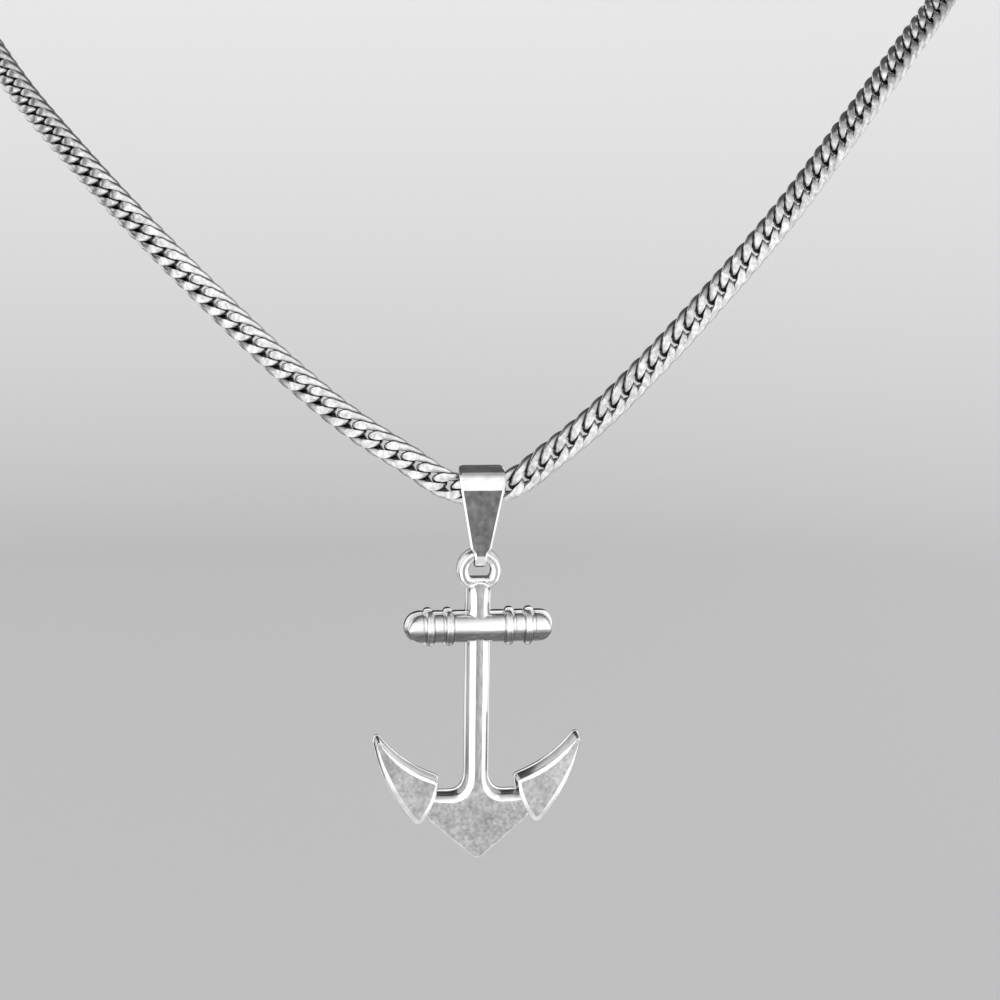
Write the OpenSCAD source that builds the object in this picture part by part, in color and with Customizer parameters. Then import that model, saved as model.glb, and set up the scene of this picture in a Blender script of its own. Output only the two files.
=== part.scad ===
// Anchor pendant necklace: a flat curb chain in the form it takes round a neck, a bail folded from
// tapered sheet, and a cast anchor that hangs from the bail by its ring.
// Millimetres, +Z up. The origin is on the inner face of the clasp, at the nape. The front is -Y.

/* [Chain] */
// Width of the flat chain
chain_w = 4.2; // [3.8:0.1:4.2]
// Thickness of the flat chain
chain_t = 1.8; // [1.4:0.1:1.9]

/* [Clasp] */
// Length of the clasp from eye to claw
clasp_l = 13.4; // [12:0.1:13.4]
// Height of the clasp at its widest
clasp_h = 4.6; // [4.4:0.1:5]
// Thickness of the clasp
clasp_t = 2; // [1.6:0.1:2.2]

/* [Bail] */
// Width of the bail across its roll
bail_w = 5.7; // [5:0.1:6.2]
// Inner radius of the roll that the chain runs through
roll_r = 2.1; // [2.05:0.05:2.3]
// Thickness of the folded sheet
sheet_t = 0.4; // [0.35:0.05:0.5]
// Width of the tongue that passes through the ring
tongue_w = 1.3; // [1:0.1:1.4]

/* [Anchor ring and shank] */
// Outer radius of the ring
ring_r = 2.87; // [2.7:0.01:3]
// Radius of the ring's hole
ring_hole_r = 1.42; // [1.35:0.01:1.5]
// Thickness of the ring, front to back
ring_t = 1.95; // [1.8:0.05:2]
// Width of the shank at its back
shank_w = 3.2; // [2.8:0.1:3.4]
// Width of the shank's flat front
shank_face_w = 1.6; // [1.2:0.1:1.8]

/* [Anchor stock] */
// Length of the stock
stock_l = 18.7; // [17:0.1:20]
// Radius of the stock
stock_r = 2.05; // [1.8:0.05:2.2]
// Height that the ribs stand proud of the stock
rib_h = 0.42; // [0.2:0.02:0.5]
// Width of each rib
rib_w = 1.1; // [0.9:0.1:1.3]

/* [Anchor arms] */
// Width of the bevel round the crown and flukes
bevel_w = 0.5; // [0.3:0.05:0.6]
// Thickness of the crown plate in front of the hanging plane
crown_front = 1.2; // [1:0.05:1.4]
// Thickness of the flukes in front of the hanging plane
fluke_front = 1.65; // [1.5:0.05:1.9]
// Thickness of the anchor behind the hanging plane
back = 1.4; // [1.2:0.05:1.4]

/* [Hidden] */
steel = [0.74, 0.75, 0.77];

// Route of the chain's middle from one end of the clasp round the neck to the other.
// Columns: x, y, z, and the lean in degrees of the chain's outer face towards the sky.
route = [
    [-7, 1, 0, 0],
    [-26, -2.5, -1, 12],
    [-44, -12, -4.5, 20],
    [-57, -26, -10, 22],
    [-65, -43, -17.5, 24],
    [-67.5, -61, -26, 26],
    [-64.5, -77.5, -35, 26],
    [-57.5, -93, -45, 23],
    [-50, -105.5, -53, 18],
    [-41, -117, -62, 12],
    [-31.5, -125.5, -71, 6],
    [-22.5, -132.5, -79, 3],
    [-14.5, -138.5, -85, 1],
    [-8.5, -142, -88.5, 0],
    [-4, -144.5, -91.2, 0],
    [0, -145, -92, 2],
    [4, -144.5, -91.2, 4],
    [8.5, -142.5, -88.5, 8],
    [14.5, -140, -84.5, 12],
    [22.5, -136, -78, 16],
    [32.5, -130.5, -69, 22],
    [43, -124, -59, 30],
    [53.5, -115, -48.5, 40],
    [63, -106, -39, 48],
    [71.5, -96.5, -31, 50],
    [78.5, -81.5, -23, 46],
    [80.5, -64.5, -16, 40],
    [76.5, -46.5, -10, 33],
    [67, -29, -6, 27],
    [51.5, -13.5, -3, 22],
    [30, -3, -1, 14],
    [7, 1, 0, 0]
];
low_point = [0, -145, -92];
ring_step = 8.5;
chain_sides = 12;

// The bail's roll clears the chain's upper edge, and its tongue clears the ring's hole.
roll_z = 0.87;
ring_z = -10;
tongue_gap = 1.2;
hole_clear = 0.1;
tongue_top = sqrt(pow(ring_hole_r, 2) - pow(tongue_w / 2, 2)) - hole_clear;
tongue_z = ring_z + tongue_top + tongue_gap;
bail_straight_z = 0.55;
bail_neck_z = -6.9;
bail_neck_w = 2.64;
tongue_start_z = -7.5;

// Heights on the anchor, from the ring's centre
hole_floor_z = -1.06;
stock_z = -7.35;
arm_top_z = -28.9;
shank_end_z = -31;
crown_middle = [0, -31];
fluke_middle = [8.6, -28.2];
shank_front = 1.25;
shank_shoulder = 0.75;
stock_y = 0.2;
edge_w = 0.1;
back_edge_h = 0.3;
crown_bevel_h = 0.35;
fluke_bevel_h = 0.55;

// Points of a curve that starts at a, is pulled towards b and ends short of c
function bend(a, b, c, n) = [
    for (i = [0 : n - 1])
        let (t = i / n)
        pow(1 - t, 2) * a + 2 * t * (1 - t) * b + t * t * c
];

// Half of the crown's outline, from the shank over the arm to the tip
crown_half = concat(
    bend([1.35, -26.4], [1.4, -28.8], [3.6, arm_top_z], 6),
    [[3.6, arm_top_z], [6.9, arm_top_z], [7.2, -31.4], [6.2, -32.3]],
    bend([0.95, -36.75], [0.45, -37.3], [0, -37.4], 3)
);
crown_outline = concat(
    crown_half,
    [[0, -37.4]],
    [for (i = [len(crown_half) - 1 : -1 : 0]) [-crown_half[i][0], crown_half[i][1]]]
);

// The right fluke's outline: top edge, point, outer edge, round heel, inner edge
fluke_outline = concat(
    bend([4.8, -26.8], [9.6, -24.9], [12.2, -21.6], 6),
    bend([12.2, -21.6], [13.1, -20.7], [13.25, -22.3], 4),
    bend([13.25, -22.3], [12, -28.3], [8.4, -32.4], 8),
    bend([8.4, -32.4], [7.5, -33.2], [6.7, -32.3], 4),
    bend([6.7, -32.3], [5.1, -30], [4.8, -26.8], 5)
);

function unit(v) = v / norm(v);
function first3(p) = [p[0], p[1], p[2]];

// Hermite curve through the route, with each slope weighted by the lengths beside it
gaps = [for (i = [0 : len(route) - 2]) norm(first3(route[i + 1] - route[i]))];
slopes = [for (i = [0 : len(gaps) - 1]) (route[i + 1] - route[i]) / gaps[i]];
function knot_slope(i) =
    i == 0 ? slopes[0]
    : i == len(gaps) ? slopes[i - 1]
    : (slopes[i - 1] * gaps[i] + slopes[i] * gaps[i - 1]) / (gaps[i - 1] + gaps[i]);
function along(i, t) =
    (2 * pow(t, 3) - 3 * pow(t, 2) + 1) * route[i]
    + (pow(t, 3) - 2 * pow(t, 2) + t) * gaps[i] * knot_slope(i)
    + (3 * pow(t, 2) - 2 * pow(t, 3)) * route[i + 1]
    + (pow(t, 3) - pow(t, 2)) * gaps[i] * knot_slope(i + 1);
function heading(i, t) = unit(first3(
    (6 * pow(t, 2) - 6 * t) * route[i] / gaps[i]
    + (3 * pow(t, 2) - 4 * t + 1) * knot_slope(i)
    + (6 * t - 6 * pow(t, 2)) * route[i + 1] / gaps[i]
    + (3 * pow(t, 2) - 2 * t) * knot_slope(i + 1)
));

// Each station is a place, a heading and a lean
function steps(i) = max(2, ceil(gaps[i] / ring_step));
stations = concat(
    [for (i = [0 : len(gaps) - 1], k = [0 : steps(i) - 1])
        [along(i, k / steps(i)), heading(i, k / steps(i))]],
    [[route[len(gaps)], heading(len(gaps) - 1, 1)]]
);

// One section of the chain: a flat oval across the heading, turned by the lean
function section(station) =
    let (
        place = first3(station[0]),
        lean = station[0][3],
        out = unit(cross(station[1], [0, 0, 1])),
        up = cross(out, station[1]),
        face = out * cos(lean) + up * sin(lean),
        edge = up * cos(lean) - out * sin(lean)
    )
    [for (k = [0 : chain_sides - 1])
        let (a = 360 * k / chain_sides)
        place
        + edge * chain_w / 2 * sign(cos(a)) * pow(abs(cos(a)), 0.7)
        + face * chain_t / 2 * sign(sin(a)) * pow(abs(sin(a)), 0.7)];

// A closed skin over rings of equal size, with a fan to a middle point at each end
module skin(rings, first_middle, last_middle) {
    n = len(rings[0]);
    last = len(rings) - 1;
    points = concat([for (r = rings) each r], [first_middle, last_middle]);
    polyhedron(points, concat(
        [for (i = [0 : last - 1], k = [0 : n - 1])
            let (m = (k + 1) % n)
            each [
                [i * n + k, (i + 1) * n + k, (i + 1) * n + m],
                [i * n + k, (i + 1) * n + m, i * n + m]
            ]],
        [for (k = [0 : n - 1]) [(last + 1) * n, k, (k + 1) % n]],
        [for (k = [0 : n - 1]) [(last + 1) * n + 1, last * n + (k + 1) % n, last * n + k]]
    ));
}

// The chain is one flat tube along the route, open at the clasp
module chain() {
    color(steel)
        skin([for (s = stations) section(s)], first3(route[0]), first3(route[len(gaps)]));
}

// The clasp is a flat trigger clasp: an eye for one end of the chain, a claw for the other
module clasp() {
    eye_r = 1.9;
    eye_hole_r = 1;
    claw_r = 1.95;
    slot_r = 1;
    eye_x = eye_r - clasp_l / 2;
    claw_x = clasp_l / 2 - claw_r;
    slot_l = 2.6;
    body_x = -0.6;
    web_h = 2.3;
    color(steel)
        translate([0, clasp_t, 0])
        rotate([90, 0, 0])
        linear_extrude(clasp_t)
        difference() {
            union() {
                translate([eye_x, 0])
                    circle(eye_r, $fn = 48);
                translate([body_x, 0])
                    circle(clasp_h / 2, $fn = 48);
                translate([claw_x, 0])
                    circle(claw_r, $fn = 48);
                translate([eye_x, -web_h / 2])
                    square([claw_x - eye_x, web_h]);
                polygon([
                    [body_x, -clasp_h / 2], [claw_x, -claw_r],
                    [claw_x, claw_r], [body_x, clasp_h / 2]
                ]);
            }
            translate([eye_x, 0])
                circle(eye_hole_r, $fn = 48);
            translate([claw_x, 0])
                circle(slot_r, $fn = 48);
            translate([claw_x - slot_l, 0])
                circle(slot_r, $fn = 48);
            translate([claw_x - slot_l, -slot_r])
                square([slot_l, slot_r * 2]);
        }
}

// A round at the top and a smaller one below, joined by their two outer tangents
module round_taper(top_r, bottom_r, drop) {
    fall = (top_r - bottom_r) / drop;
    lean = sqrt(1 - fall * fall);
    circle(top_r, $fn = 64);
    translate([0, -drop])
        circle(bottom_r, $fn = 64);
    polygon([
        [top_r * lean, -top_r * fall], [-top_r * lean, -top_r * fall],
        [-bottom_r * lean, -drop - bottom_r * fall], [bottom_r * lean, -drop - bottom_r * fall]
    ]);
}

// The bail is one strip of sheet, rolled over the chain and closed through the ring by its tongue
module bail() {
    drop = roll_z - tongue_z;
    top = roll_z + roll_r + sheet_t;
    color(steel)
        translate(low_point)
        intersection() {
            translate([0, 0, roll_z])
                rotate([90, 0, 90])
                linear_extrude(bail_w, center = true)
                difference() {
                    round_taper(roll_r + sheet_t, tongue_gap + sheet_t, drop);
                    round_taper(roll_r, tongue_gap, drop);
                }
            rotate([90, 0, 0])
                linear_extrude(4 * roll_r, center = true)
                polygon([
                    [-bail_w, top + 1], [-bail_w / 2, top + 1], [-bail_w / 2, bail_straight_z],
                    [-bail_neck_w / 2, bail_neck_z], [-tongue_w / 2, tongue_start_z],
                    [-tongue_w / 2, ring_z - 2], [tongue_w / 2, ring_z - 2],
                    [tongue_w / 2, tongue_start_z], [bail_neck_w / 2, bail_neck_z],
                    [bail_w / 2, bail_straight_z], [bail_w / 2, top + 1]
                ]);
        }
}

// The ring is a turned loop with a rounded section, and its axis runs front to back
module anchor_ring() {
    wire = ring_r - ring_hole_r;
    rotate([90, 0, 0])
        rotate_extrude($fn = 96)
        translate([ring_hole_r + wire / 2, 0]) {
            square([wire, ring_t - wire], center = true);
            for (side = [-1, 1])
                translate([0, side * (ring_t - wire) / 2])
                    circle(wire / 2, $fn = 48);
        }
}

// The shank's section has a wide flat back, sloping sides and a narrower flat front
module anchor_shank() {
    half = shank_w / 2;
    face = shank_face_w / 2;
    translate([0, 0, shank_end_z])
        linear_extrude(hole_floor_z - shank_end_z)
        polygon([
            [-half, back], [-half + 0.1, -shank_shoulder], [-face, -shank_front],
            [face, -shank_front], [half - 0.1, -shank_shoulder], [half, back]
        ]);
}

// The stock is turned with round ends and two pairs of ribs, then cut flat at the back
module anchor_stock() {
    straight = stock_l - 2 * stock_r;
    intersection() {
        translate([0, stock_y, stock_z])
            rotate([0, 90, 0]) {
                cylinder(h = straight, r = stock_r, center = true, $fn = 72);
                for (end = [-1, 1])
                    translate([0, 0, end * straight / 2])
                        sphere(stock_r, $fn = 72);
                for (x = [-6.4, -3.9, 3.9, 6.4])
                    translate([0, 0, x])
                        rotate_extrude($fn = 72)
                        intersection() {
                            translate([stock_r + rib_h - rib_w / 2, 0])
                                circle(rib_w / 2, $fn = 32);
                            translate([0.1, -rib_w])
                                square([stock_r + rib_h, 2 * rib_w]);
                        }
            }
        translate([-stock_l, back - 10, stock_z - 5])
            cube([2 * stock_l, 10, 10]);
    }
}

// The outline moved inwards by d, square to its edges
function inset(outline, d) = [
    for (i = [0 : len(outline) - 1])
        let (
            before = outline[(i + len(outline) - 1) % len(outline)],
            here = outline[i],
            after = outline[(i + 1) % len(outline)],
            e1 = unit(here - before),
            e2 = unit(after - here),
            m = [e1[1] + e2[1], -e1[0] - e2[0]]
        )
        here + 2 * d * m / (m * m)
];

// A cast plate from its face to its back: a bevel, then upright sides. front is measured from the hanging
// plane, and each level is a depth with its inset.
module cast_plate(outline, middle, front, bevel_h) {
    levels = [[-front, bevel_w], [bevel_h - front, edge_w], [back - back_edge_h, 0], [back, edge_w]];
    rings = [for (v = levels) [for (p = inset(outline, v[1])) [p[0], v[0], p[1]]]];
    skin(rings, [middle[0], -front, middle[1]], [middle[0], back, middle[1]]);
}

// The anchor is one casting
module anchor() {
    color(steel)
        translate(low_point + [0, 0, ring_z]) {
            anchor_ring();
            anchor_shank();
            anchor_stock();
            cast_plate(crown_outline, crown_middle, crown_front, crown_bevel_h);
            cast_plate(fluke_outline, fluke_middle, fluke_front, fluke_bevel_h);
            mirror([1, 0, 0])
                cast_plate(fluke_outline, fluke_middle, fluke_front, fluke_bevel_h);
        }
}

chain();
clasp();
bail();
anchor();
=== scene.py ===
import bmesh
import bpy
import numpy as np
from mathutils import Matrix, Vector


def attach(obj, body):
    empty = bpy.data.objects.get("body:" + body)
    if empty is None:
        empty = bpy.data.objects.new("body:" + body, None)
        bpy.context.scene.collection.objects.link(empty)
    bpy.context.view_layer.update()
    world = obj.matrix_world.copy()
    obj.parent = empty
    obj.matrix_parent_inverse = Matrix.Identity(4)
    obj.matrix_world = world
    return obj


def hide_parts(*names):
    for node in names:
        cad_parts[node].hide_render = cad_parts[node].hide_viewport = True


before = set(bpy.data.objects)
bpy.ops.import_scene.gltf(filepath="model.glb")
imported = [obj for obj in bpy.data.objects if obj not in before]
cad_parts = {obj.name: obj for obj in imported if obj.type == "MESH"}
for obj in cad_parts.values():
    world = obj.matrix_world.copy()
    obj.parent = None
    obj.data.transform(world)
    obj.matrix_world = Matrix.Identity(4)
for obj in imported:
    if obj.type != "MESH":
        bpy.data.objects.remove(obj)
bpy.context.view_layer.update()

# Camera and studio
# The necklace is seen from a little to its left and above, at the distance of a close portrait.
# A pale floor lies below it. Soft boxes in front, beside and behind it are what the steel reflects.
chain_low_point = np.array([0, -0.145, -0.092])
view_azimuth = np.radians(8)
view_elevation = np.radians(11)
view_roll = np.radians(0.8)
view_distance = 0.33
focal_length_px = 2653.2
picture_size_px = 1000
low_point_px = np.array([480.4, 491.8])

forward = np.array([
    np.sin(view_azimuth) * np.cos(view_elevation),
    np.cos(view_azimuth) * np.cos(view_elevation),
    -np.sin(view_elevation),
])
level_right = np.array([np.cos(view_azimuth), -np.sin(view_azimuth), 0])
level_up = np.cross(level_right, forward)
right = np.cos(view_roll) * level_right + np.sin(view_roll) * level_up
up = np.cos(view_roll) * level_up - np.sin(view_roll) * level_right
aside = (low_point_px - picture_size_px / 2) / focal_length_px
eye = chain_low_point - view_distance * (forward + right * aside[0] - up * aside[1])

camera_data = bpy.data.cameras.new("camera")
camera_data.sensor_width = 36
camera_data.lens = focal_length_px / picture_size_px * camera_data.sensor_width
camera_data.clip_start = 0.01
camera_data.clip_end = 20
camera = bpy.data.objects.new("camera", camera_data)
turn = Matrix((right, up, -forward)).transposed()
camera.matrix_world = Matrix.Translation(eye) @ turn.to_4x4()
bpy.context.scene.collection.objects.link(camera)
bpy.context.scene.camera = camera

# The floor is a round cove: a flat disc that bends up into a wall all round.
cove_z = -0.45
cove_flat = 1.5
cove_bend = 0.8
cove_wall = 1.2
cove_middle = 0.001
cove_turn = np.linspace(0, 2 * np.pi, 96, endpoint=False)[None, :]
cove_rise = np.linspace(0, np.pi / 2, 17)
cove_profile = np.vstack([
    (cove_middle, 0),
    np.stack([cove_flat + cove_bend * np.sin(cove_rise), cove_bend * (1 - np.cos(cove_rise))], axis=-1),
    (cove_flat + cove_bend, cove_bend + cove_wall),
])[:, None]
cove_points = np.stack([
    cove_profile[..., 0] * np.cos(cove_turn),
    cove_profile[..., 0] * np.sin(cove_turn),
    cove_profile[..., 1] + cove_z + 0 * cove_turn,
], axis=-1)
rows, columns = cove_points.shape[:2]
number = np.arange(rows * columns).reshape(rows, columns)
after = np.roll(number, -1, axis=1)
cove_faces = np.stack([number[:-1], after[:-1], after[1:], number[1:]], axis=-1).reshape(-1, 4)
cove_mesh = bpy.data.meshes.new("cove")
cove_mesh.from_pydata(cove_points.reshape(-1, 3), [], cove_faces.tolist() + [number[0][::-1].tolist()])
cove_mesh.shade_smooth()
cove = bpy.data.objects.new("cove", cove_mesh)
bpy.context.scene.collection.objects.link(cove)
cove_paint = bpy.data.materials.new("pale paper")
cove_paint.use_nodes = True
cove_shader = cove_paint.node_tree.nodes["Principled BSDF"]
cove_shader.inputs["Base Color"].default_value = (0.85, 0.85, 0.855, 1)
cove_shader.inputs["Roughness"].default_value = 0.95
cove_mesh.materials.append(cove_paint)
# Only the camera sees the cove. The lamps stand outside and above it and shine through it, and the steel
# mirrors them and the sky instead.
cove.visible_glossy = False
cove.visible_diffuse = False
cove.visible_shadow = False


def soft_box(name, bearing, height_angle, distance, width, height, glow):
    """A flat rectangular lamp that faces the pendant from a bearing, in degrees to the right of straight
    ahead, and an angle above it. Its watts are its glow times pi times its area."""
    bearing, height_angle = np.radians([bearing, height_angle])
    way = Vector((np.sin(bearing) * np.cos(height_angle), -np.cos(bearing) * np.cos(height_angle),
                  np.sin(height_angle)))
    data = bpy.data.lights.new(name, "AREA")
    data.shape = "RECTANGLE"
    data.size = width
    data.size_y = height
    data.energy = glow * np.pi * width * height
    lamp = bpy.data.objects.new(name, data)
    lamp.location = Vector(chain_low_point) + distance * way
    lamp.rotation_euler = way.to_track_quat("Z", "Y").to_euler()
    lamp.visible_camera = False
    bpy.context.scene.collection.objects.link(lamp)
    return lamp


# Each box's bearing and height angle in degrees, its distance, width and height in metres, and its glow.
soft_box("front_box", 3, 4, 2.75, 3.6, 2.75, 0.45)
soft_box("top_box", 8, 54, 2.75, 3.25, 3.25, 0.3)
soft_box("left_box", -60, 8, 2.6, 3.2, 5.8, 0.5)
soft_box("right_box", 68, 8, 2.6, 3.2, 5.8, 0.38)
soft_box("back_left_box", -135, 12, 2.6, 2.0, 2.9, 0.9)
soft_box("back_right_box", 135, 12, 2.6, 2.0, 2.9, 0.9)
# This box is tipped to light the floor and the wall behind the necklace, and the steel doesn't mirror it.
cove_box = soft_box("cove_box", 0, 75, 3.2, 3.6, 2.2, 0.2)
cove_box_back = Vector((0, -0.65, 0.75))
cove_box.rotation_euler = cove_box_back.to_track_quat("Z", "Y").to_euler()
cove_box.visible_glossy = False

# A white tent round the camera and below shows in the steel between the boxes. Behind and above the room
# is dark.
sky = bpy.data.worlds.new("studio")
sky.use_nodes = True
sky_nodes = sky.node_tree.nodes
sky_links = sky.node_tree.links
sky_way = sky_nodes.new("ShaderNodeTexCoord")
sky_axis = sky_nodes.new("ShaderNodeVectorMath")
sky_axis.operation = "DOT_PRODUCT"
sky_axis.inputs[1].default_value = (0, -0.8, -0.6)
sky_level = sky_nodes.new("ShaderNodeMapRange")
sky_level.inputs["From Min"].default_value = -0.3
sky_level.inputs["From Max"].default_value = 0.1
sky_level.inputs["To Min"].default_value = 0.1
sky_level.inputs["To Max"].default_value = 0.75
sky_links.new(sky_way.outputs["Generated"], sky_axis.inputs[0])
sky_links.new(sky_axis.outputs["Value"], sky_level.inputs["Value"])
sky_links.new(sky_level.outputs["Result"], sky_nodes["Background"].inputs["Strength"])
sky_nodes["Background"].inputs["Color"].default_value = (1, 1, 1.01, 1)
bpy.context.scene.world = sky
bpy.context.scene.view_settings.view_transform = "Standard"

# Chain
# A flat double curb chain of steel wire. Each link is an oval, twisted along its length, that passes
# through the two links before it and the two after it. Both faces of the chain are ground flat.

# Columns: x, y and z of the chain's middle line in metres, and how far its outer face leans up, in degrees.
route = np.array([
    (-0.007, 0.001, 0, 0),
    (-0.026, -0.0025, -0.001, 12),
    (-0.044, -0.012, -0.0045, 20),
    (-0.057, -0.026, -0.010, 22),
    (-0.065, -0.043, -0.0175, 24),
    (-0.0672, -0.061, -0.026, 26),
    (-0.0645, -0.0775, -0.035, 26),
    (-0.0575, -0.093, -0.045, 23),
    (-0.050, -0.1055, -0.053, 18),
    (-0.041, -0.117, -0.062, 12),
    (-0.0315, -0.1255, -0.071, 6),
    (-0.0225, -0.1325, -0.079, 3),
    (-0.0145, -0.1385, -0.085, 1),
    (-0.0085, -0.142, -0.0885, 0),
    (-0.004, -0.1445, -0.0912, 0),
    (0, -0.145, -0.092, 2),
    (0.004, -0.1445, -0.0912, 4),
    (0.0085, -0.1425, -0.0885, 8),
    (0.0145, -0.140, -0.0845, 12),
    (0.0225, -0.136, -0.078, 16),
    (0.0325, -0.1305, -0.069, 22),
    (0.043, -0.124, -0.059, 30),
    (0.0535, -0.115, -0.0485, 40),
    (0.063, -0.106, -0.039, 48),
    (0.0715, -0.0965, -0.031, 50),
    (0.0785, -0.0815, -0.023, 46),
    (0.0802, -0.0645, -0.016, 40),
    (0.0765, -0.0465, -0.010, 33),
    (0.067, -0.029, -0.006, 27),
    (0.0515, -0.0135, -0.003, 22),
    (0.030, -0.003, -0.001, 14),
    (0.007, 0.001, 0, 0),
])
chain_half_width = 0.0021
chain_half_thickness = 0.0009
link_half_length = 0.00317
wire_radius = 0.00054
link_end_twist = np.radians(61)
link_pitch = 0.0025
# Angles round one half of the link's ellipse, which the other half repeats.
link_stations = np.radians([0, 21, 41, 63, 90, 117, 139, 159])
# A ground facet reaches this angle or more to each side of the wire's crest, and is spread a little. The
# round wire is swollen a little, because smoothing draws its hexagon in. Shade is painted on the wire inside
# the chain, where the links hide each other from the lamps, at a rate that starts a little below the faces.
facet_tip = np.radians(14)
facet_spread = 1.12
round_swell = 1.14
face_margin = 0.03
painted_shade_rate = 2.6


def unit(vectors):
    """Each vector divided by its length."""
    return vectors / np.linalg.norm(vectors, axis=-1, keepdims=True)


def smooth_route(knots, per_gap):
    """Hermite curve through the knots. A gap's length is its chord, and the slope at a knot is the mean of
    the slopes beside it, each weighted by the other's length."""
    steps = np.diff(knots, axis=0)
    chords = np.linalg.norm(steps[:, :3], axis=1)[:, None]
    slopes = steps / chords
    inner = (slopes[:-1] * chords[1:] + slopes[1:] * chords[:-1]) / (chords[:-1] + chords[1:])
    at_knots = np.vstack([slopes[:1], inner, slopes[-1:]])
    t = np.linspace(0, 1, per_gap, endpoint=False)[None, :, None]
    start, end = knots[:-1, None], knots[1:, None]
    leave, arrive = (at_knots[:-1] * chords)[:, None], (at_knots[1:] * chords)[:, None]
    curve = ((2 * t**3 - 3 * t**2 + 1) * start + (t**3 - 2 * t**2 + t) * leave
             + (3 * t**2 - 2 * t**3) * end + (t**3 - t**2) * arrive)
    return np.vstack([curve.reshape(-1, knots.shape[1]), knots[-1:]])


line = smooth_route(route, 60)
line_place = line[:, :3]
line_at = np.r_[0, np.cumsum(np.linalg.norm(np.diff(line_place, axis=0), axis=1))]
line_heading = unit(np.gradient(line_place, line_at, axis=0))
line_out = unit(np.cross(line_heading, [0, 0, 1]))
line_up = np.cross(line_out, line_heading)
line_lean = np.radians(line[:, 3:])
line_face = line_out * np.cos(line_lean) + line_up * np.sin(line_lean)
line_edge = line_up * np.cos(line_lean) - line_out * np.sin(line_lean)


def on_chain(along, across, proud):
    """The point at a length along the chain's middle line, so far towards its upper edge and so far proud of
    its middle towards its outer face."""
    def read(table):
        return np.stack([np.interp(along, line_at, column) for column in table.T], axis=-1)
    return read(line_place) + across[..., None] * read(line_edge) + proud[..., None] * read(line_face)


def curb_link():
    """Points of one link, stations by 6 sides, as along, across and proud. The middle line is an ellipse
    whose plane turns about the chain's line in proportion to the length along it. The wire's section is a
    hexagon round that line, and where the wire reaches a ground face two of its corners lie on the face."""
    t = np.concatenate([link_stations, link_stations + np.pi])
    step = 0.004

    def middle(angle):
        length = link_half_length * np.cos(angle)
        width = (chain_half_width - wire_radius) * np.sin(angle)
        twist = -link_end_twist * np.cos(angle)
        return np.stack([length, width * np.cos(twist), width * np.sin(twist)], axis=-1)

    tangent = unit(middle(t + step) - middle(t - step))
    normal = unit(np.array([0, 0, 1]) - tangent[:, 2:] * tangent)
    side = np.cross(tangent, normal)
    height = middle(t)[:, 2]
    reach = wire_radius * normal[:, 2]
    round_corner = np.pi / 6
    cut_top = np.arccos(np.clip((chain_half_thickness - height) / reach, -1, 1))
    cut_back = np.arccos(np.clip((chain_half_thickness + height) / reach, -1, 1))
    top = np.where(cut_top > 0, np.maximum(cut_top, facet_tip), round_corner)
    back = np.where(cut_back > 0, np.maximum(cut_back, facet_tip), round_corner)
    flank = (top + np.pi - back) / 2
    never = np.zeros(len(t), bool)
    corners = np.stack([top, flank, np.pi - back, np.pi + back, 2 * np.pi - flank, 2 * np.pi - top], axis=1)
    ground = np.stack([cut_top > 0, never, cut_back > 0], axis=1)[:, [0, 1, 2, 2, 1, 0]]
    radius = wire_radius * np.where(ground, 1, round_swell)
    spread = np.where(ground, facet_spread, 1)
    points = (middle(t)[:, None]
              + (radius * np.cos(corners))[..., None] * normal[:, None]
              + (radius * spread * np.sin(corners))[..., None] * side[:, None])
    return points, ground


def wrapped_faces(copies, rows, columns):
    """Four-sided faces of copies of a grid that closes on itself in both directions."""
    number = np.arange(copies * rows * columns).reshape(copies, rows, columns)
    next_row = np.roll(number, -1, axis=1)
    next_column = np.roll(number, -1, axis=2)
    both = np.roll(next_row, -1, axis=2)
    return np.stack([number, next_column, both, next_row], axis=-1).reshape(-1, 4).tolist()


def new_piece(name, points, faces):
    """A smooth-shaded mesh object of the points and faces, in the scene."""
    mesh = bpy.data.meshes.new(name)
    mesh.from_pydata(points.reshape(-1, 3), [], faces)
    mesh.shade_smooth()
    piece = bpy.data.objects.new(name, mesh)
    bpy.context.scene.collection.objects.link(piece)
    return piece


def read_field(elements, field, kind, width):
    """A field of a mesh's points, edges, faces or corners, as an array of so many columns."""
    values = np.empty(len(elements) * width, kind)
    elements.foreach_get(field, values)
    return values.reshape(-1, width)


def lay(piece, name, kind, domain, values):
    """An attribute on a piece's points, edges, faces or corners, for its material or a modifier to read."""
    layer = piece.data.attributes.new(name, kind, domain)
    field = "vector" if kind == "FLOAT_VECTOR" else "value"
    layer.data.foreach_set(field, np.ravel(values).astype(bool if kind == "BOOLEAN" else np.float32))


link, ground = curb_link()
link_reach = link_half_length + wire_radius
link_count = int(round((line_at[-1] - 2 * link_reach) / link_pitch)) + 1
link_at = np.linspace(link_reach, line_at[-1] - link_reach, link_count)
links = on_chain(
    link_at[:, None, None] + link[None, ..., 0],
    np.broadcast_to(link[None, ..., 1], (link_count, *link.shape[:2])),
    np.broadcast_to(link[None, ..., 2], (link_count, *link.shape[:2])),
)
chain_links = new_piece("chain_links", links, wrapped_faces(link_count, *link.shape[:2]))
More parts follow.
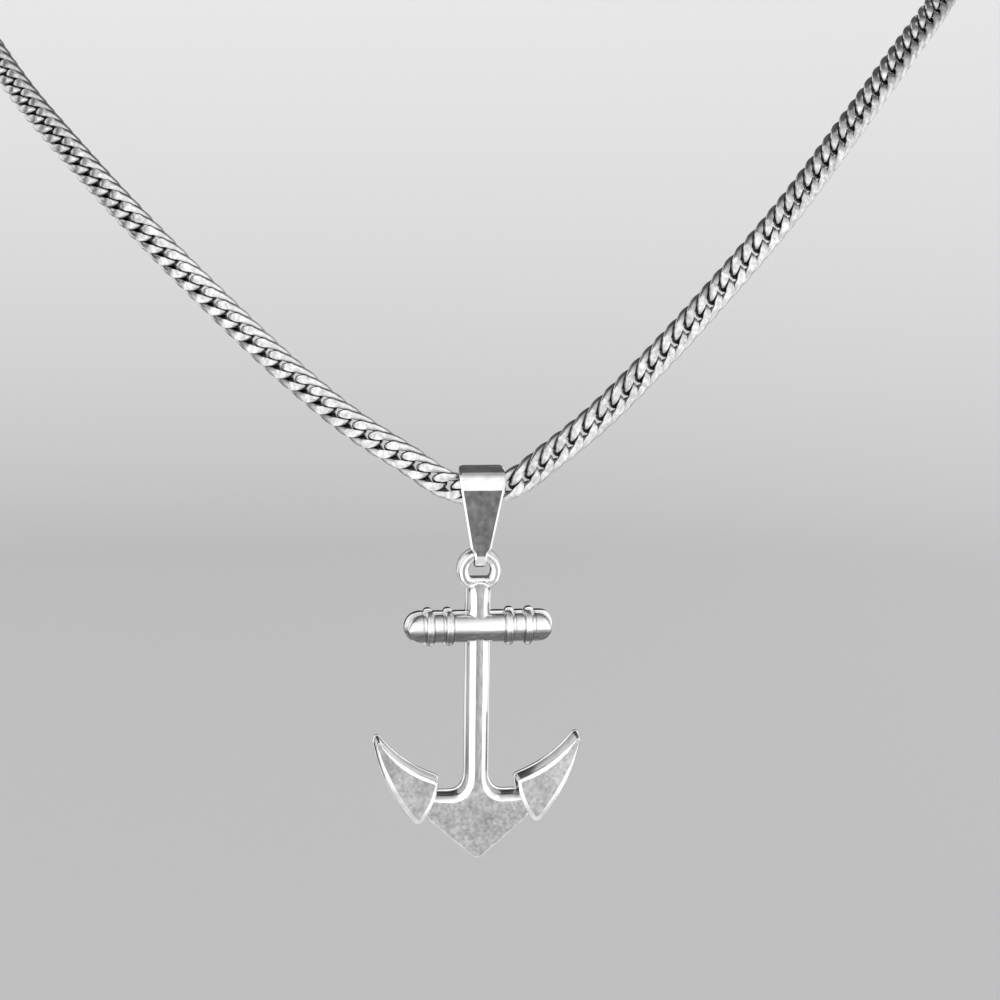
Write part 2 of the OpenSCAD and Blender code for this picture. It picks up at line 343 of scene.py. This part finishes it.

# The edges between a ground facet and the round wire stay sharp. The facets have a fine satin, and shade is
# painted on the wire inside the chain, away from its faces and its edges, where the links shade each other.
ends = read_field(chain_links.data.edges, "vertices", np.int32, 2)
is_ground = np.tile(ground.ravel(), link_count)
corner = ends % ground.shape[1]
sharp = is_ground[ends].all(axis=1) & (corner[:, 0] == corner[:, 1])
# Painted shade: deep is how far each point of the wire is darkened, growing inwards from the chain's faces
# and edges.
inside = 1 - face_margin - np.abs(link[..., 2]) / chain_half_thickness
between = 1 - np.abs(link[..., 1]) / chain_half_width
deep = np.clip(painted_shade_rate * np.minimum(inside, between), 0, 1)
lay(chain_links, "crease_edge", "FLOAT", "EDGE", sharp)
lay(chain_links, "sharp_edge", "BOOLEAN", "EDGE", sharp)
lay(chain_links, "satin", "FLOAT", "POINT", is_ground)
lay(chain_links, "painted_shade_and_tone", "FLOAT", "POINT", np.tile(deep.ravel(), link_count))
finer = chain_links.modifiers.new("finer", "SUBSURF")
finer.levels = 1
finer.render_levels = 1


def steel_finish(name, tone, polish, satin, satin_tone, pebble_size, pebble_depth, laid=None):
    """Steel with the polish's roughness and tone, that goes to the satin's where the piece's satin attribute
    is 1, and that is darkened by painted shade, to a quarter where the piece's attribute of painted shade and
    tone is 1. Smudges vary both, and the satin has a pebbled grain of the given size and depth, laid out on
    Object coordinates or on the piece's own attribute."""
    paint = bpy.data.materials.new(name)
    paint.use_nodes = True
    nodes = paint.node_tree.nodes
    wires = paint.node_tree.links
    steel = nodes["Principled BSDF"]
    steel.inputs["Metallic"].default_value = 1
    if laid:
        place = nodes.new("ShaderNodeAttribute")
        place.attribute_name = laid
        where = place.outputs["Vector"]
    else:
        where = nodes.new("ShaderNodeTexCoord").outputs["Object"]

    def mark(name):
        reading = nodes.new("ShaderNodeAttribute")
        reading.attribute_name = name
        return reading.outputs["Fac"]

    def noise(size, detail):
        grain = nodes.new("ShaderNodeTexNoise")
        grain.inputs["Scale"].default_value = 1 / size
        grain.inputs["Detail"].default_value = detail
        wires.new(where, grain.inputs["Vector"])
        return grain.outputs["Fac"]

    def spread(value, low, high):
        ramp = nodes.new("ShaderNodeMapRange")
        ramp.clamp = False
        ramp.inputs["To Min"].default_value = low
        ramp.inputs["To Max"].default_value = high
        wires.new(value, ramp.inputs["Value"])
        return ramp.outputs["Result"]

    def combine(operation, first, second):
        both = nodes.new("ShaderNodeMath")
        both.operation = operation
        wires.new(first, both.inputs[0])
        wires.new(second, both.inputs[1])
        return both.outputs[0]

    satin_mark = mark("satin")
    smudges = noise(0.0016, 5)
    pebbles = noise(pebble_size, 3)
    gloss = combine("MULTIPLY", spread(satin_mark, polish, satin), spread(smudges, 0.7, 1.3))
    wires.new(gloss, steel.inputs["Roughness"])
    shade = combine("MULTIPLY", spread(satin_mark, tone, satin_tone), spread(smudges, 0.6, 1.4))
    mottle = combine("MULTIPLY", spread(pebbles, -0.7, 0.7), satin_mark)
    shade = combine("MULTIPLY", shade, spread(mottle, 1, 2))
    # Painted shade: the piece's attribute of painted shade darkens the colour, to a quarter where it is 1.
    shade = combine("MULTIPLY", shade, spread(mark("painted_shade_and_tone"), 1, 0.25))
    wires.new(shade, steel.inputs["Base Color"])
    grain = nodes.new("ShaderNodeBump")
    grain.inputs["Distance"].default_value = pebble_depth
    wires.new(combine("MULTIPLY", pebbles, spread(satin_mark, 0.06, 1)), grain.inputs["Height"])
    wires.new(grain.outputs["Normal"], steel.inputs["Normal"])
    return paint


chain_links.data.materials.append(steel_finish(
    "chain steel", tone=0.95, polish=0.12, satin=0.26, satin_tone=0.7, pebble_size=0.0006,
    pebble_depth=0.00001))
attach(chain_links, "chain")
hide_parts("chain")

# End rings
# A small oval ring of thin wire at each end of the chain joins its last link to the clasp.
# Each is bent round, closed and soldered, and turned so that it crosses the end wire of the last link.
end_ring_x = 0.00694
end_ring_half_length = 0.00141
end_ring_half_height = 0.00085
end_ring_wire = 0.00023
end_ring_lean = np.radians(30)


def oval_ring(side):
    """Points of a torus round an ellipse. The ellipse lies along x and across a line that leans to the
    side."""
    t = np.linspace(0, 2 * np.pi, 32, endpoint=False)[:, None]
    around = np.linspace(2 * np.pi, 0, 10, endpoint=False)[None, :]
    across = np.array([0, np.cos(end_ring_lean), side * np.sin(end_ring_lean)])
    along = np.array([1, 0, 0])
    upright = np.cross(along, across)
    out = unit(np.cos(t)[..., None] * end_ring_half_height * along
               + np.sin(t)[..., None] * end_ring_half_length * across)
    middle = (np.cos(t)[..., None] * end_ring_half_length * along
              + np.sin(t)[..., None] * end_ring_half_height * across)
    wire = end_ring_wire * (np.cos(around)[..., None] * out + np.sin(around)[..., None] * upright)
    return middle + wire + np.array([side * end_ring_x, line_place[0, 1], 0])


ring_points = np.stack([oval_ring(-1), oval_ring(1)])
end_rings = new_piece("end_rings", ring_points, wrapped_faces(*ring_points.shape[:3]))
end_rings.data.materials.append(steel_finish(
    "end ring steel", tone=0.85, polish=0.13, satin=0.2, satin_tone=0.65, pebble_size=0.0006,
    pebble_depth=0.00001))
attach(end_rings, "chain")
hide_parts("chain")

# Clasp
# A plain trigger clasp, cast in one with its eye and claw and tumbled smooth, hidden at the nape.
# The ring at one end of the chain passes through the round eye, and the other is held in the claw.

# Columns: x, half height and half depth, in millimetres.
clasp_profile = np.array([
    (-6.7, 0.05, 0.25),
    (-6.5, 0.95, 0.4),
    (-6.0, 1.5, 0.42),
    (-4.8, 1.9, 0.45),
    (-3.6, 1.45, 0.6),
    (-2.6, 1.5, 0.85),
    (-0.6, 2.3, 1.0),
    (2.0, 2.2, 0.95),
    (4.75, 1.95, 0.6),
    (5.9, 1.55, 0.42),
    (6.45, 0.95, 0.4),
    (6.7, 0.05, 0.25),
])
clasp_half_length = 6.7
clasp_middle_y = 1.0
clasp_squareness = 0.7
eye_x = -4.8
eye_radius = 1.0
slot_from_x = 2.15
slot_to_x = 4.75
slot_half = 1.0
mm = 0.001


def clasp_body():
    """Sections along x, each a rounded oblong whose half height and half depth follow the profile. The
    oblong is a circle's sine and cosine, each raised to a power below 1."""
    x = -clasp_half_length * np.cos(np.linspace(0, np.pi, 72))
    high = np.interp(x, clasp_profile[:, 0], clasp_profile[:, 1])
    deep = np.interp(x, clasp_profile[:, 0], clasp_profile[:, 2])
    soft = np.array([0.25, 0.5, 0.25])
    high[1:-1] = np.convolve(high, soft, "valid")
    deep[1:-1] = np.convolve(deep, soft, "valid")
    turn = np.linspace(0, 2 * np.pi, 40, endpoint=False)
    z = np.sign(np.cos(turn)) * np.abs(np.cos(turn))**clasp_squareness
    y = np.sign(np.sin(turn)) * np.abs(np.sin(turn))**clasp_squareness
    return np.stack([x[:, None] + 0 * z, clasp_middle_y + deep[:, None] * y, high[:, None] * z], axis=-1)


def capped_faces(rows, columns):
    """Faces of a tube whose first and last rows are closed by one face each."""
    number = np.arange(rows * columns).reshape(rows, columns)
    after = np.roll(number, -1, axis=1)
    walls = np.stack([number[:-1], after[:-1], after[1:], number[1:]], axis=-1).reshape(-1, 4)
    return walls.tolist() + [number[0][::-1].tolist(), number[-1].tolist()]


def flared_hole(from_x, to_x, half, middle_y, reach):
    """A stadium-shaped plug along y whose ends flare, so that the hole it cuts has rounded edges."""
    turn = np.linspace(0, 2 * np.pi, 48, endpoint=False)
    depth = np.array([-1.6, -1.1, -0.8, -0.45, 0.45, 0.8, 1.1, 1.6])[:, None] * reach
    flare = np.array([0.6, 0.25, 0.1, 0, 0, 0.1, 0.25, 0.6])[:, None] * reach
    middle_x = np.where(np.cos(turn) > 0, to_x, from_x)
    x = middle_x + (half + flare) * np.cos(turn)
    z = (half + flare) * np.sin(turn)
    return np.stack([x, middle_y + depth + 0 * x, z], axis=-1)


def face_outwards(piece):
    """Cuts a closed piece's faces of many corners into triangles, and turns all its faces outwards."""
    shell = bmesh.new()
    shell.from_mesh(piece.data)
    wide_faces = [face for face in shell.faces if len(face.verts) > 4]
    bmesh.ops.triangulate(shell, faces=wide_faces)
    bmesh.ops.recalc_face_normals(shell, faces=shell.faces)
    shell.to_mesh(piece.data)
    shell.free()


def solid(name, points):
    """A closed tube of the points in millimetres, with capped ends."""
    piece = new_piece(name, points * mm, capped_faces(*points.shape[:2]))
    face_outwards(piece)
    return piece


def fuse(body, others, operation):
    """The body joined with the other solids, or cut by them, as one closed mesh. The others are used up."""
    for other in others:
        step = body.modifiers.new("step", "BOOLEAN")
        step.operation = operation
        step.solver = "EXACT"
        step.object = other
    made = bpy.data.meshes.new_from_object(body.evaluated_get(bpy.context.evaluated_depsgraph_get()))
    body.modifiers.clear()
    body.data = made
    made.name = body.name
    for other in others:
        bpy.data.objects.remove(other)


clasp = solid("trigger_clasp", clasp_body())
fuse(clasp, [
    solid("eye_plug", flared_hole(eye_x, eye_x, eye_radius, clasp_middle_y, 0.5)),
    solid("slot_plug", flared_hole(slot_from_x, slot_to_x, slot_half, clasp_middle_y, 1.0)),
], "DIFFERENCE")
clasp.data.shade_smooth()
clasp.data.set_sharp_from_angle(angle=np.radians(40))
clasp.data.materials.append(steel_finish(
    "clasp steel", tone=0.8, polish=0.17, satin=0.2, satin_tone=0.65, pebble_size=0.0006,
    pebble_depth=0.00001))
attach(clasp, "chain")
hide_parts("clasp")

# Bail
# One strip of sheet, tapered, rolled round the chain and closed through the anchor's ring by its tongue.
# The roll and the strip's bevelled edges are polished, and its flat faces are satin and a little scuffed.

# Sizes in millimetres from the chain's low point.
roll_middle_z = 0.87
roll_radius = 2.3
tongue_middle_z = -7.95
tongue_radius = 1.4
sheet_half = 0.199
crease_angle = np.radians(6)
back_narrowing = 0.62
tongue_half_width = 0.7
widest_bevel = 0.27
bevel_share = 0.3
# Columns: z, and the strip's width there.
bail_widths = np.array([
    (-11.0, 1.4),
    (-9.0, 1.4),
    (-8.2, 1.5),
    (-7.5, 1.75),
    (-6.9, 2.64),
    (0.2, 5.25),
    (1.6, 5.7),
    (5.0, 5.7),
])


def bail_strip():
    """A closed loop in the y-z plane, an arc over the chain, two straights and an arc through the ring,
    carries a section across x: a thin oblong with bevels along the edges of its outer face. The strip narrows
    with its share of the way from front to back. The stations on the two straights are marked."""
    fall = (roll_radius - tongue_radius) / (roll_middle_z - tongue_middle_z)
    lean = np.arcsin(fall)

    def arc(middle_z, radius, angles):
        return np.stack([-radius * np.cos(angles), middle_z + radius * np.sin(angles)], axis=-1)

    roll = arc(roll_middle_z, roll_radius, np.linspace(-crease_angle, np.pi + lean, 56))
    tongue = arc(tongue_middle_z, tongue_radius, np.linspace(np.pi + lean, 2 * np.pi - lean, 26))
    share = np.linspace(0, 1, 42)[1:-1, None]
    back = roll[-1] + (tongue[0] - roll[-1]) * share
    front = tongue[-1] + (roll[0] - tongue[-1]) * share
    path = np.vstack([roll, back, tongue, front])
    ahead = np.roll(path, -1, axis=0) - np.roll(path, 1, axis=0)
    ahead[0] = path[1] - path[0]
    ahead[-1] = path[-1] - path[-2]
    ahead = unit(ahead)
    outward = np.stack([-ahead[:, 1], ahead[:, 0]], axis=-1)
    behind = np.clip((path[:, :1] / roll_radius + 0.3) / 1.2, 0, 1)
    half = np.interp(path[:, 1], bail_widths[:, 0], bail_widths[:, 1])[:, None] / 2
    half = half - back_narrowing * behind * np.clip(half - tongue_half_width, 0, 1)
    bevel = np.minimum(widest_bevel, half * bevel_share)
    # The right half of the section, from the outer face over the bevel to the inner face.
    right_x = np.concatenate([
        half - bevel - 0.03, half - bevel, half - 0.02, half, half, half - 0.06,
    ], axis=1)
    right_n = np.array([1, 0.97, 0.36, 0.2, -0.65, -1]) * sheet_half
    x = np.concatenate([right_x, -right_x[:, ::-1]], axis=1)
    n = np.concatenate([right_n, right_n[::-1]])
    flat = path[:, None] + n[None, :, None] * outward[:, None]
    points = np.stack([x, flat[..., 0], flat[..., 1]], axis=-1)
    stations = np.arange(len(path))
    on_back = (stations >= len(roll)) & (stations < len(roll) + len(back))
    on_front = stations >= len(path) - len(front)
    return points, on_back | on_front


strip, straight = bail_strip()
bail_faces = wrapped_faces(1, *strip.shape[:2])
bail = new_piece("bail_strip", strip * mm + chain_low_point, bail_faces)

# The outer faces of the two straights are satin.
outer_column = np.tile(np.arange(strip.shape[1]), len(strip)) == strip.shape[1] - 1
satin_faces = np.repeat(straight, strip.shape[1]) & outer_column
lay(bail, "satin", "FLOAT", "FACE", satin_faces)
bail.data.set_sharp_from_angle(angle=np.radians(25))
bail.data.materials.append(steel_finish(
    "bail steel", tone=0.92, polish=0.13, satin=0.34, satin_tone=0.2, pebble_size=0.0007,
    pebble_depth=0.00002))
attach(bail, "bail")
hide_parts("bail")

# Anchor
# One steel casting with a flat back: a ring, a shank that runs into the crown and arms, a ribbed stock and
# two flukes. Tumbling and polishing leave its bevels bright, and its broad faces keep a satin skin.

# Sizes in millimetres from the middle of the ring.
ring_middle = chain_low_point + np.array([0, 0, -10]) * mm
stock_z = -7.35
stock_half_length = 9.35
stock_radius = 2.05
ledge_y = 0.87
stock_back_y = 1.36
stock_ledge_y = 0.35
stock_shoulder_y = -0.8
left_end_power = 2.1
right_end_power = 2.8
front_end_power = 5
ridge_power = 1.25
ridge_drop = 0.2
least_plate = 0.03
least_front = 0.02
flange = 0.3
rib_places = np.array([-6.4, -3.9, 3.9, 6.4])
rib_height = 0.42
rib_half_width = 0.56
rib_side_power = 2.4
rib_top_power = 0.6
rib_groove_width = 0.1
rib_groove_depth = 0.06
ring_outer = 2.87
ring_hole = 1.42
hole_floor = 0.82
shank_foot = -27
shank_half_width = 1.6

# Half outline of the shank, crown and arms on the right, from the crown upwards. Columns: x, z, the width of
# the ledge and that of the bevel. Every second row pulls the curve between its neighbours, and so do the
# crown's point and the middle of the shank's top.
crown_point = (0, -37.79, 0.07, 0.05)
shank_top = (0, -0.97, 0.05, 0.3)
body_half = np.array([
    (0.95, -36.95, 0.07, 0.05),
    (3.6, -34.6, 0.07, 0.05),
    (6.2, -32.3, 0.07, 0.05),
    (7.5, -30.7, 0.07, 0.1),
    (6.9, -28.7, 0.15, 0.4),
    (5.2, -28.7, 0.18, 0.6),
    (3.6, -28.7, 0.2, 0.65),
    (1.6, -28.7, 0.2, 0.69),
    (1.6, -26.3, 0.2, 0.69),
    (1.6, -14.0, 0.2, 0.69),
    (1.6, -9.0, 0.2, 0.69),
    (1.6, -8.3, 0.2, 0.69),
    (1.9, -7.9, 0.2, 0.69),
    (2.1, -7.0, 0.2, 0.69),
    (2.05, -6.0, 0.2, 0.69),
    (1.6, -5.5, 0.2, 0.69),
    (1.6, -4.7, 0.2, 0.69),
    (1.6, -3.6, 0.2, 0.69),
    (1.6, -2.9, 0.2, 0.65),
    (1.6, -2.3, 0.2, 0.6),
    (1.72, -2.0, 0.12, 0.5),
    (1.8, -0.97, 0.12, 0.5),
    (0.5, -0.97, 0.05, 0.3),
])
# Outline of the right fluke in the same form: inner corner, heel, outer edge, point and top edge.
fluke_corners = np.array([
    (4.82, -27.4, 0.12, 0.35),
    (5.15, -30.2, 0.12, 0.6),
    (6.7, -32.3, 0.12, 0.6),
    (7.5, -33.2, 0.12, 0.6),
    (8.4, -32.4, 0.12, 0.6),
    (12.0, -28.3, 0.15, 0.85),
    (13.25, -22.3, 0.1, 0.15),
    (13.1, -20.7, 0.06, 0.1),
    (12.2, -21.6, 0.06, 0.1),
    (9.6, -24.9, 0.12, 0.7),
    (5.4, -26.57, 0.12, 0.35),
    (4.75, -26.8, 0.12, 0.35),
])


def inset(corners, width):
    """Corners of a counter-clockwise outline, each moved inwards so that both edges beside it move square to
    themselves by its width."""
    into = unit(corners - np.roll(corners, 1, axis=0))
    out = unit(np.roll(corners, -1, axis=0) - corners)
    middle = np.stack([-into[:, 1] - out[:, 1], into[:, 0] + out[:, 0]], axis=-1)
    return corners + 2 * width[:, None] * middle / (middle**2).sum(axis=1, keepdims=True)


def bend(corners, steps):
    """A closed chain of quadratic curves: even corners lie on it, and odd ones pull it."""
    start, pull = corners[0::2, None], corners[1::2, None]
    end = np.roll(corners[0::2], -1, axis=0)[:, None]
    t = (np.arange(steps) / steps)[None, :, None]
    return ((1 - t)**2 * start + 2 * t * (1 - t) * pull + t**2 * end).reshape(-1, 2)


def cast_plate(corners, levels, steps):
    """Closed outlines, each in front of the last. A level is a plain inset, shares of the ledge's and the
    bevel's widths, and y."""
    def outline(plain, ledge_share, bevel_share, y):
        width = plain + ledge_share * corners[:, 2] + bevel_share * corners[:, 3]
        flat = bend(inset(corners[:, :2], width), steps)
        return np.stack([flat[:, 0], np.full(len(flat), y), flat[:, 1]], axis=-1)
    return np.stack([outline(*level) for level in levels])


def flange_levels(back_y):
    """The levels from the flat back over its rounded rim and the upright flange to the ledge. Columns: plain
    inset, share of the ledge, share of the bevel, y."""
    return [
        (0.3, 0, 0, back_y), (0.12, 0, 0, back_y), (0.03, 0, 0, back_y - 0.04), (0, 0, 0, 1.28),
        (0, 0, 0, 1.0), (0.02, 0.1, 0, 0.95), (0.02, 0.3, 0, 0.94), (0.02, 0.9, 0, 0.93),
        (0.02, 1.05, 0, ledge_y),
    ]


def bell(distance, width):
    """1 at no distance, falling off to both sides as a bell curve of the given width: e to the minus square
    of distance over width."""
    return np.exp(-(distance / width)**2)


def stock_points():
    """Sections along x: a flat back, an upright flange, a ledge, a shoulder and a rounded ridge. Their height
    follows round ends, the right one blunter, and swells at the ribs, with a fine groove beside each. Ends,
    ribs and ridge are power curves, and the rims shrink to nothing at the ends."""
    turn = np.linspace(-np.pi / 2, np.pi / 2, 300)
    x = stock_half_length * np.sin(turn)
    nearest = np.abs(x[:, None] - rib_places).min(axis=1)
    rib = rib_height * (1 - np.clip(nearest / rib_half_width, 0, 1)**rib_side_power)**rib_top_power
    rib -= rib_groove_depth * bell(nearest - rib_half_width - rib_groove_width, rib_groove_width)

    def end_size(shrink, power):
        half = stock_half_length - shrink
        from_middle = np.abs(x) * half / stock_half_length
        into_end = np.clip((from_middle - (half - stock_radius)) / stock_radius, 0, 1)
        return (1 - into_end**power)**(1 / power)

    power = np.where(x > 0, right_end_power, left_end_power)
    full_depth = stock_radius - ridge_drop + stock_shoulder_y
    plate = np.maximum(end_size(0, power) * stock_radius + rib, least_plate)[:, None]
    front = np.maximum(end_size(flange, power) * (stock_radius - flange) + rib, least_front)[:, None]
    depth = np.maximum(end_size(flange, front_end_power) * full_depth + rib, least_front)[:, None]
    soft = np.minimum(1, plate / 0.4)
    rim_inset = np.array([0.3, 0.12, 0.03, 0, 0, 0.04, 0.1])
    edge_z = np.concatenate([plate - rim_inset * soft, np.minimum(front + 0.03, plate - 0.11 * soft)], axis=1)
    edge_y = np.broadcast_to([
        stock_back_y, stock_back_y, 1.33, 1.22,
        stock_ledge_y + 0.1, stock_ledge_y + 0.02, stock_ledge_y, stock_ledge_y,
    ], edge_z.shape)
    arc = np.linspace(0, np.pi, 25)
    front_z = front * np.sign(np.cos(arc)) * np.abs(np.cos(arc))**ridge_power + 0.08 * soft
    front_y = stock_shoulder_y - depth * np.abs(np.sin(arc))**ridge_power
    edge_x = np.repeat(x[:, None], len(rim_inset), axis=1)
    front_x = np.repeat((x * (1 - flange / stock_half_length))[:, None], len(arc) + 2, axis=1)
    wide = np.concatenate([edge_x, front_x, edge_x], axis=1)
    y = np.concatenate([edge_y, front_y, edge_y[:, ::-1]], axis=1)
    z = np.concatenate([edge_z, front_z, -edge_z[:, ::-1]], axis=1)
    return np.stack([wide, y, z + stock_z], axis=-1)


def ring_sections():
    """A section of flange, ledge, bevelled rims and face is carried round the hole. The hole's radius is the
    soft minimum of a circle's and of the distance to its flat floor. Columns of the section: the share of
    the way from the hole to the outer edge, and y."""
    turn = np.linspace(0, 2 * np.pi, 144, endpoint=False)[:, None]
    downward = np.maximum(-np.sin(turn), 0.01)
    blend = 0.08
    hole = -blend * np.log(np.exp(-ring_hole / blend) + np.exp(-hole_floor / downward / blend))
    section = np.array([
        (0.0, -0.45), (0.03, -0.62), (0.07, -0.71), (0.12, -0.77), (0.31, -0.93), (0.35, -0.955),
        (0.4, -0.96), (0.52, -0.96), (0.56, -0.95), (0.6, -0.925), (0.76, -0.78), (0.8, -0.72),
        (0.83, -0.6), (0.85, 0.6), (0.86, 0.68), (0.88, 0.7), (0.98, 0.71), (1.0, 0.75),
        (1.0, 0.9), (0.98, 0.95), (0.92, 0.97), (0.12, 0.97), (0.03, 0.9), (0.0, 0.75),
    ])
    radius = hole + (ring_outer - hole) * section[:, 0]
    depth = np.broadcast_to(section[:, 1], radius.shape)
    return np.stack([radius * np.cos(turn), depth, radius * np.sin(turn)], axis=-1)


def mirrored(corners):
    """The same outline on the left, still counter-clockwise."""
    return corners[::-1] * (-1, 1, 1, 1)


body_corners = np.vstack([body_half, shank_top, mirrored(body_half), crown_point])
body_levels = flange_levels(1.4) + [
    (0.02, 1.7, 0, -0.55), (0.03, 1.85, 0, -0.67), (0.06, 1.9, 0.03, -0.75), (0.04, 1.9, 0.93, -1.2),
    (0.1, 1.9, 1, -1.235), (0.18, 1.9, 1.02, -1.25), (0.24, 1.9, 1.06, -1.25),
]
fluke_levels = flange_levels(1.42) + [
    (0.03, 1.7, 0, -1.2), (0.05, 1.8, 0.03, -1.33), (0.07, 1.9, 0.1, -1.4), (0.06, 1.9, 0.85, -1.6),
    (0.08, 1.9, 1, -1.64), (0.12, 1.9, 1.05, -1.65), (0.15, 1.9, 1.08, -1.65),
]
left_fluke_corners = np.roll(mirrored(fluke_corners), 1, axis=0)
offset = ring_middle / mm
anchor = solid("anchor_casting", cast_plate(body_corners, body_levels, 12) + offset)
ring_part = ring_sections() + offset
ring = new_piece("ring_part", ring_part * mm, wrapped_faces(1, *ring_part.shape[:2]))
face_outwards(ring)
fuse(anchor, [
    ring,
    solid("stock_part", stock_points() + offset),
    solid("right_fluke_part", cast_plate(fluke_corners, fluke_levels, 8) + offset),
    solid("left_fluke_part", cast_plate(left_fluke_corners, fluke_levels, 8) + offset),
], "UNION")
anchor.data.shade_smooth()
anchor.data.set_sharp_from_angle(angle=np.radians(32))

# Places of the faces' middles and of their corners, from the middle of the ring.
faces = anchor.data.polygons
sides = read_field(faces, "loop_total", np.int32, 1)[:, 0]
face_turn = read_field(faces, "normal", np.float32, 3)[:, 1]
face_x, face_y, face_z = ((read_field(faces, "center", np.float32, 3) - ring_middle) / mm).T
corner_point = read_field(anchor.data.loops, "vertex_index", np.int32, 1)[:, 0]
corners_of = ((read_field(anchor.data.vertices, "co", np.float32, 3) - ring_middle) / mm)[corner_point]
above = corners_of[:, 2] - stock_z

# Satin lies on the flats of the shank, the crown and the flukes, and on the ring's band. On the stock it lies
# below the middle and a little along the top. The faces are told apart by the y of their normal, which is -1
# on a face that looks straight to the front, and by their place.
flat_turn = -0.985
band_turn = -0.93
wall_turn = 0.35
raised_y = -1.1
body_front_y = -1.3
fluke_front_y = -1.5
satin_top_z = -1.5
fluke_satin = 0.86
facing = face_turn < flat_turn
on_stock = (np.abs(face_z - stock_z) < stock_radius + rib_height) & (face_y < stock_ledge_y + 0.01)
on_stock &= (np.abs(face_x) > shank_half_width) | (face_y < body_front_y)
stock_corner = np.repeat(on_stock, sides)
on_ring = np.hypot(face_x, face_z) < ring_outer
plate = facing & (face_y < raised_y) & (face_z < satin_top_z)
ring_band = (face_turn < band_turn) & on_ring & (face_z > satin_top_z)
satin_of = np.repeat(np.where(face_y < fluke_front_y, fluke_satin, 1) * (plate | ring_band), sides)
streaky = np.clip(0.3 - above / 0.6, 0, 1) * np.clip((above + 1.6) / 0.12, 0, 1)
streaky = np.maximum(streaky, 0.25 * np.clip((above - 0.9) / 0.3, 0, 1))
lay(anchor, "satin", "FLOAT", "CORNER", np.where(stock_corner, streaky, satin_of))

# Painted shade lies in dark lines beside the stock's ribs and along their lower halves, and darkens the stock
# below its middle, away from the light above. The walls carry painted shade that deepens towards the ledge,
# and the left half of the shank's flat is darker than the right.
left_dark = 0.3
from_rib = np.abs(corners_of[:, :1] - rib_places).min(axis=1)
# Painted shade in the fine grooves beside the ribs, and down their lower halves.
beside = 0.7 * bell(from_rib - 0.68, 0.09)
along = 0.9 * bell(from_rib, 0.17) * (above < -0.1)
shade_and_tone_of = stock_corner * np.maximum(np.maximum(beside, along), 0.72 * streaky * (above < 0))
upright = (np.abs(face_turn) < wall_turn) & (face_y > body_front_y) & (face_y < ledge_y)
wall = upright & ~on_stock & ~on_ring
# Painted shade on the walls, deepest at the ledge.
groove = 0.95 - 0.25 * (ledge_y - corners_of[:, 1])
shade_and_tone_of = np.where(np.repeat(wall, sides), groove, shade_and_tone_of)
left_of_flat = np.repeat(facing, sides) & (corners_of[:, 0] < 0) & (corners_of[:, 2] > shank_foot)
shade_and_tone_of = np.where(left_of_flat, np.maximum(shade_and_tone_of, left_dark), shade_and_tone_of)
lay(anchor, "painted_shade_and_tone", "FLOAT", "CORNER", shade_and_tone_of)

# The grain is drawn out along the shank and along the stock, and is coarse on the crown and the flukes.
shank_reach = 2
arms_from_x = 3
shank_draw = 0.15
stock_draw = 0.22
coarse = 0.5
laid = corners_of.copy()
on_shank = (laid[:, 2] > shank_foot) & (np.abs(laid[:, 0]) < shank_reach)
laid[:, 2] = np.where(on_shank, shank_foot + (laid[:, 2] - shank_foot) * shank_draw, laid[:, 2])
laid[stock_corner] = corners_of[stock_corner] * (stock_draw, 1, 1)
broad = plate & ((face_z < shank_foot) | (np.abs(face_x) > arms_from_x))
laid[np.repeat(broad, sides)] *= coarse
lay(anchor, "grain", "FLOAT_VECTOR", "CORNER", laid * mm)
anchor.data.materials.append(steel_finish(
    "anchor steel", tone=0.92, polish=0.15, satin=0.36, satin_tone=0.46, pebble_size=0.00024,
    pebble_depth=0.000025, laid="grain"))
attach(anchor, "anchor")
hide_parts("anchor")
